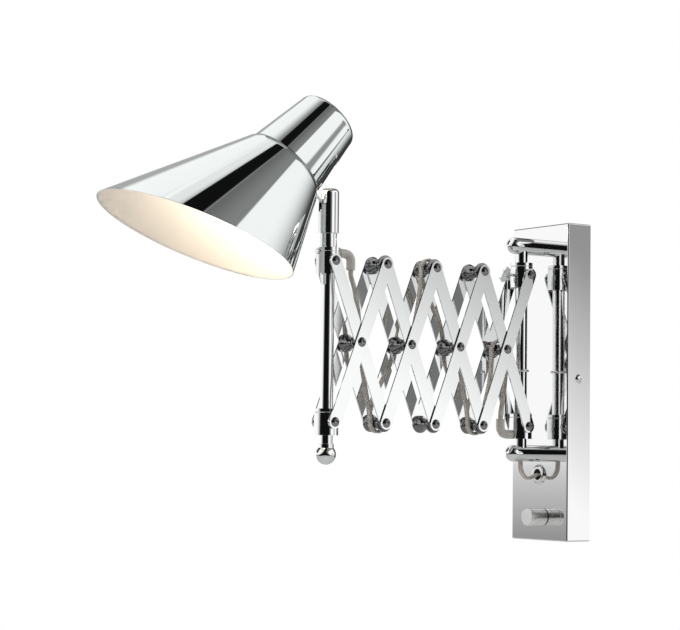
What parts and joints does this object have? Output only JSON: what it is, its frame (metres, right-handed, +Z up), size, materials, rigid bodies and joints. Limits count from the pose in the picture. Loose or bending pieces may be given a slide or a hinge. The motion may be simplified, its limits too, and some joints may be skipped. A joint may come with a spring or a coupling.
{
  "type": "swing arm wall sconce",
  "caption": "Chrome wall lamp: a wall box with a dimmer knob, a scissor lattice arm on an upright rod, and an obliquely cut cone shade on a knuckle.",
  "frame": {"origin": "middle of the wall box's open back, on the wall plane", "axes": "+Y points into the wall, -Y out along the arm at rest, +Z up, +X to the right when looking at the wall"},
  "size_m": [0.1786, 0.5167, 0.4216],
  "materials": {
    "polished_chrome": "polished",
    "shade_chrome": "polished outside, warm white enamel inside",
    "bracket_steel": "satin",
    "dimmer_plastic": "moulded",
    "knob_metal": "turned",
    "white_plastic": "moulded",
    "clear_lead": "clear over twisted wire",
    "clear_clip": "clear",
    "bulb_glass": "frosted",
    "bulb_cap": "rolled"
  },
  "bodies": {
    "root": {"wall_cover": "polished_chrome", "wall_bracket": "bracket_steel", "cover_screws": "polished_chrome", "post_screws": "bracket_steel", "top_post": "polished_chrome", "bottom_post": "polished_chrome", "post_end_caps": "polished_chrome", "rear_rod": "polished_chrome", "stop_ring": "polished_chrome", "cord_grommet": "polished_chrome", "dimmer_body": "dimmer_plastic", "dimmer_nut": "polished_chrome", "terminal_block": "white_plastic", "cord_loop": "clear_lead"},
    "knob": {"dimmer_knob": "knob_metal"},
    "arm_base": {"rear_top_collar": "polished_chrome"},
    "wing": {"thumb_screw": "polished_chrome"},
    "rear_slider": {"rear_bottom_collar": "polished_chrome", "rear_cord_clip": "clear_clip"},
    "bar_a0": {"bars_a0": "polished_chrome", "screws_a0": "polished_chrome", "spools_a0": "polished_chrome", "lead_a0": "clear_lead"},
    "bar_b0": {"bars_b0": "polished_chrome", "screws_b0": "polished_chrome", "lead_b0": "clear_lead"},
    "bar_a1": {"bars_a1": "polished_chrome", "screws_a1": "polished_chrome", "spools_a1": "polished_chrome"},
    "bar_b1": {"bars_b1": "polished_chrome", "lead_b1": "clear_lead"},
    "bar_a2": {"bars_a2": "polished_chrome", "screws_a2": "polished_chrome", "spools_a2": "polished_chrome", "lead_a2": "clear_lead"},
    "bar_b2": {"bars_b2": "polished_chrome"},
    "bar_a3": {"bars_a3": "polished_chrome", "screws_a3": "polished_chrome", "spools_a3": "polished_chrome"},
    "bar_b3": {"bars_b3": "polished_chrome", "screws_b3": "polished_chrome", "lead_b3": "clear_lead"},
    "front_top": {"front_top_collar": "polished_chrome", "front_cord_clip": "clear_clip", "collar_set_screw": "polished_chrome", "lead_front": "clear_lead"},
    "front_slider": {"front_bottom_collar": "polished_chrome"},
    "front_rod": {"front_rod": "polished_chrome", "rod_sleeve": "polished_chrome", "rod_finial": "polished_chrome", "clevis": "polished_chrome", "hinge_screw": "polished_chrome"},
    "head": {"knuckle": "polished_chrome", "lampholder": "white_plastic", "holder_nut": "polished_chrome", "bulb_glass": "bulb_glass", "bulb_cap": "bulb_cap", "shade_neck": "shade_chrome", "shade_cone": "shade_chrome"}
  },
  "joints": [
    {"name": "dimmer_turn", "type": "hinge", "parent": "root", "child": "knob", "pos_m": [0.006, -0.0295, -0.1355], "axis": [0, -1, 0], "range_deg": [0, 270]},
    {"name": "arm_swing", "type": "hinge", "parent": "root", "child": "arm_base", "pos_m": [0, -0.0541, 0.107], "axis": [0, 0, 1], "range_deg": [-80, 80]},
    {"name": "wing_turn", "type": "hinge", "parent": "arm_base", "child": "wing", "pos_m": [0, -0.0758, 0.107], "axis": [0, -1, 0], "range_deg": [-90, 90]},
    {"name": "arm_extend", "type": "hinge", "parent": "arm_base", "child": "bar_a0", "pos_m": [0, -0.0541, 0.107], "axis": [-1, 0, 0], "range_deg": [-6.2, 26]},
    {"name": "cross_0", "type": "hinge", "parent": "bar_a0", "child": "bar_b0", "pos_m": [0, -0.0836, 0.03103], "axis": [-1, 0, 0], "range_deg": [-52, 12.4]},
    {"name": "top_1", "type": "hinge", "parent": "bar_b0", "child": "bar_a1", "pos_m": [0, -0.1131, 0.107], "axis": [-1, 0, 0], "range_deg": [-12.4, 52]},
    {"name": "cross_1", "type": "hinge", "parent": "bar_a1", "child": "bar_b1", "pos_m": [0, -0.1426, 0.03103], "axis": [-1, 0, 0], "range_deg": [-52, 12.4]},
    {"name": "top_2", "type": "hinge", "parent": "bar_b1", "child": "bar_a2", "pos_m": [0, -0.1721, 0.107], "axis": [-1, 0, 0], "range_deg": [-12.4, 52]},
    {"name": "cross_2", "type": "hinge", "parent": "bar_a2", "child": "bar_b2", "pos_m": [0, -0.2016, 0.03103], "axis": [-1, 0, 0], "range_deg": [-52, 12.4]},
    {"name": "top_3", "type": "hinge", "parent": "bar_b2", "child": "bar_a3", "pos_m": [0, -0.2311, 0.107], "axis": [-1, 0, 0], "range_deg": [-12.4, 52]},
    {"name": "cross_3", "type": "hinge", "parent": "bar_a3", "child": "bar_b3", "pos_m": [0, -0.2606, 0.03103], "axis": [-1, 0, 0], "range_deg": [-52, 12.4]},
    {"name": "rear_slide", "type": "hinge", "parent": "bar_b0", "child": "rear_slider", "pos_m": [0, -0.0541, -0.04495], "axis": [-1, 0, 0], "range_deg": [-6.2, 26]},
    {"name": "front_top_pivot", "type": "hinge", "parent": "bar_b3", "child": "front_top", "pos_m": [0, -0.2901, 0.107], "axis": [-1, 0, 0], "range_deg": [-6.2, 26]},
    {"name": "front_low_pivot", "type": "hinge", "parent": "bar_a3", "child": "front_slider", "pos_m": [0, -0.2901, -0.04495], "axis": [-1, 0, 0], "range_deg": [-26, 6.2]},
    {"name": "head_swivel", "type": "hinge", "parent": "front_top", "child": "front_rod", "pos_m": [0, -0.2901, 0.107], "axis": [0, 0, 1], "range_deg": [-90, 90]},
    {"name": "shade_tilt", "type": "hinge", "parent": "front_rod", "child": "head", "pos_m": [0, -0.2901, 0.165], "axis": [0.9917, -0.1288, 0], "range_deg": [-40, 10]}
  ],
  "couplings": [
    {"joint": "cross_0", "follows": "arm_extend", "ratio": -2},
    {"joint": "top_1", "follows": "arm_extend", "ratio": 2},
    {"joint": "cross_1", "follows": "arm_extend", "ratio": -2},
    {"joint": "top_2", "follows": "arm_extend", "ratio": 2},
    {"joint": "cross_2", "follows": "arm_extend", "ratio": -2},
    {"joint": "top_3", "follows": "arm_extend", "ratio": 2},
    {"joint": "cross_3", "follows": "arm_extend", "ratio": -2},
    {"joint": "rear_slide", "follows": "arm_extend", "ratio": 1},
    {"joint": "front_top_pivot", "follows": "arm_extend", "ratio": 1},
    {"joint": "front_low_pivot", "follows": "arm_extend", "ratio": -1}
  ]
}
